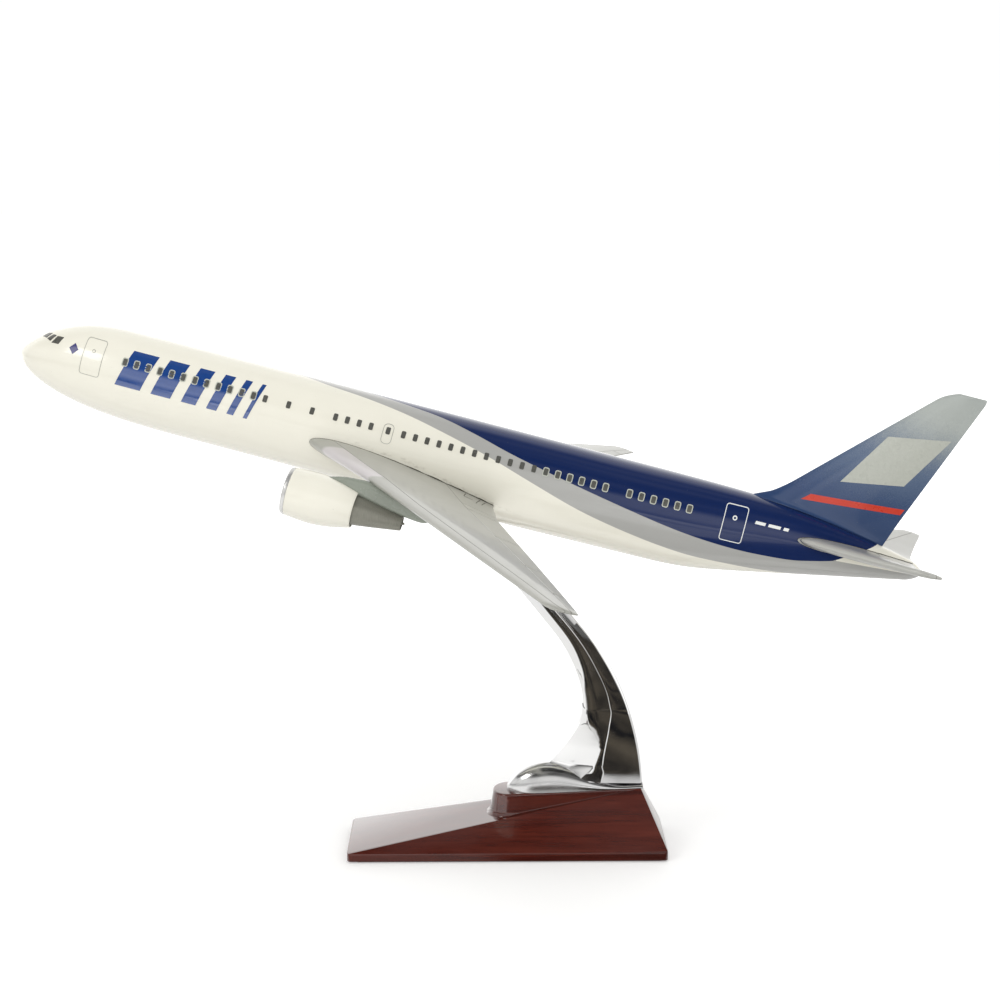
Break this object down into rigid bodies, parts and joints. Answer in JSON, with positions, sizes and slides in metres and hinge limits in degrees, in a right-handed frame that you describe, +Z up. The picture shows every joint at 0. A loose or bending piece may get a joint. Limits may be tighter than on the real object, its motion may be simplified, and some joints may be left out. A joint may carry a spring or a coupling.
{
  "type": "desktop airliner model",
  "caption": "Twin-engined airliner display model, nose raised on a curved chrome arm over a glossy wedge base; the model swivels and lifts off its pin.",
  "frame": {"origin": "centre of the base underside, on the table", "axes": "+Z up, +Y towards the rear of the base and roughly towards the aircraft tail, +X to the port side"},
  "size_m": [0.4092, 0.4708, 0.2664],
  "materials": {
    "felt": "matt felt",
    "mahogany": "high gloss lacquer",
    "chrome": "mirror polish",
    "steel": "plain turned",
    "brass": "plain turned",
    "fuselage_paint": "gloss ivory with grey and navy sweep",
    "wing_paint": "satin warm silver",
    "fin_paint": "gloss navy fading to silver",
    "pylon_paint": "satin grey",
    "cowl_paint": "gloss ivory",
    "nozzle_paint": "satin gunmetal",
    "fan_metal": "satin dark grey",
    "spinner_paint": "satin grey"
  },
  "bodies": {
    "stand": {"felt_pad": "felt", "base_wedge": "mahogany", "stand_arm": "chrome", "arm_screws": "steel", "screw_washers": "steel"},
    "pin": {"swivel_pin": "steel", "pin_collar": "chrome"},
    "aircraft": {"belly_bush": "brass", "fuselage": "fuselage_paint", "left_wing": "wing_paint", "right_wing": "wing_paint", "wing_rods": "steel", "vertical_fin": "fin_paint", "fin_pegs": "steel", "left_tailplane": "wing_paint", "right_tailplane": "wing_paint", "tailplane_rod": "steel", "left_pylon": "pylon_paint", "right_pylon": "pylon_paint", "left_fan_cowl": "cowl_paint", "right_fan_cowl": "cowl_paint", "left_inlet_lip": "chrome", "right_inlet_lip": "chrome", "left_core_nozzle": "nozzle_paint", "right_core_nozzle": "nozzle_paint", "left_exhaust_plug": "nozzle_paint", "right_exhaust_plug": "nozzle_paint"},
    "left_fan": {"left_fan_rotor": "fan_metal", "left_spinner": "spinner_paint", "left_fan_axle": "steel"},
    "right_fan": {"right_fan_rotor": "fan_metal", "right_spinner": "spinner_paint", "right_fan_axle": "steel"}
  },
  "joints": [
    {"name": "aircraft_swivel", "type": "hinge", "parent": "stand", "child": "pin", "pos_m": [0, -0.01333, 0.17554], "axis": [0, 0.2299, 0.9732], "continuous": true},
    {"name": "aircraft_lift", "type": "slide", "parent": "pin", "child": "aircraft", "axis": [0, 0.2299, 0.9732], "range_m": [0, 0.05]},
    {"name": "left_fan_spin", "type": "hinge", "parent": "aircraft", "child": "left_fan", "pos_m": [0.05521, -0.10408, 0.20016], "axis": [0.1374, 0.9581, -0.2514], "continuous": true},
    {"name": "right_fan_spin", "type": "hinge", "parent": "aircraft", "child": "right_fan", "pos_m": [-0.07871, -0.086, 0.19589], "axis": [0.1374, 0.9581, -0.2514], "continuous": true}
  ]
}
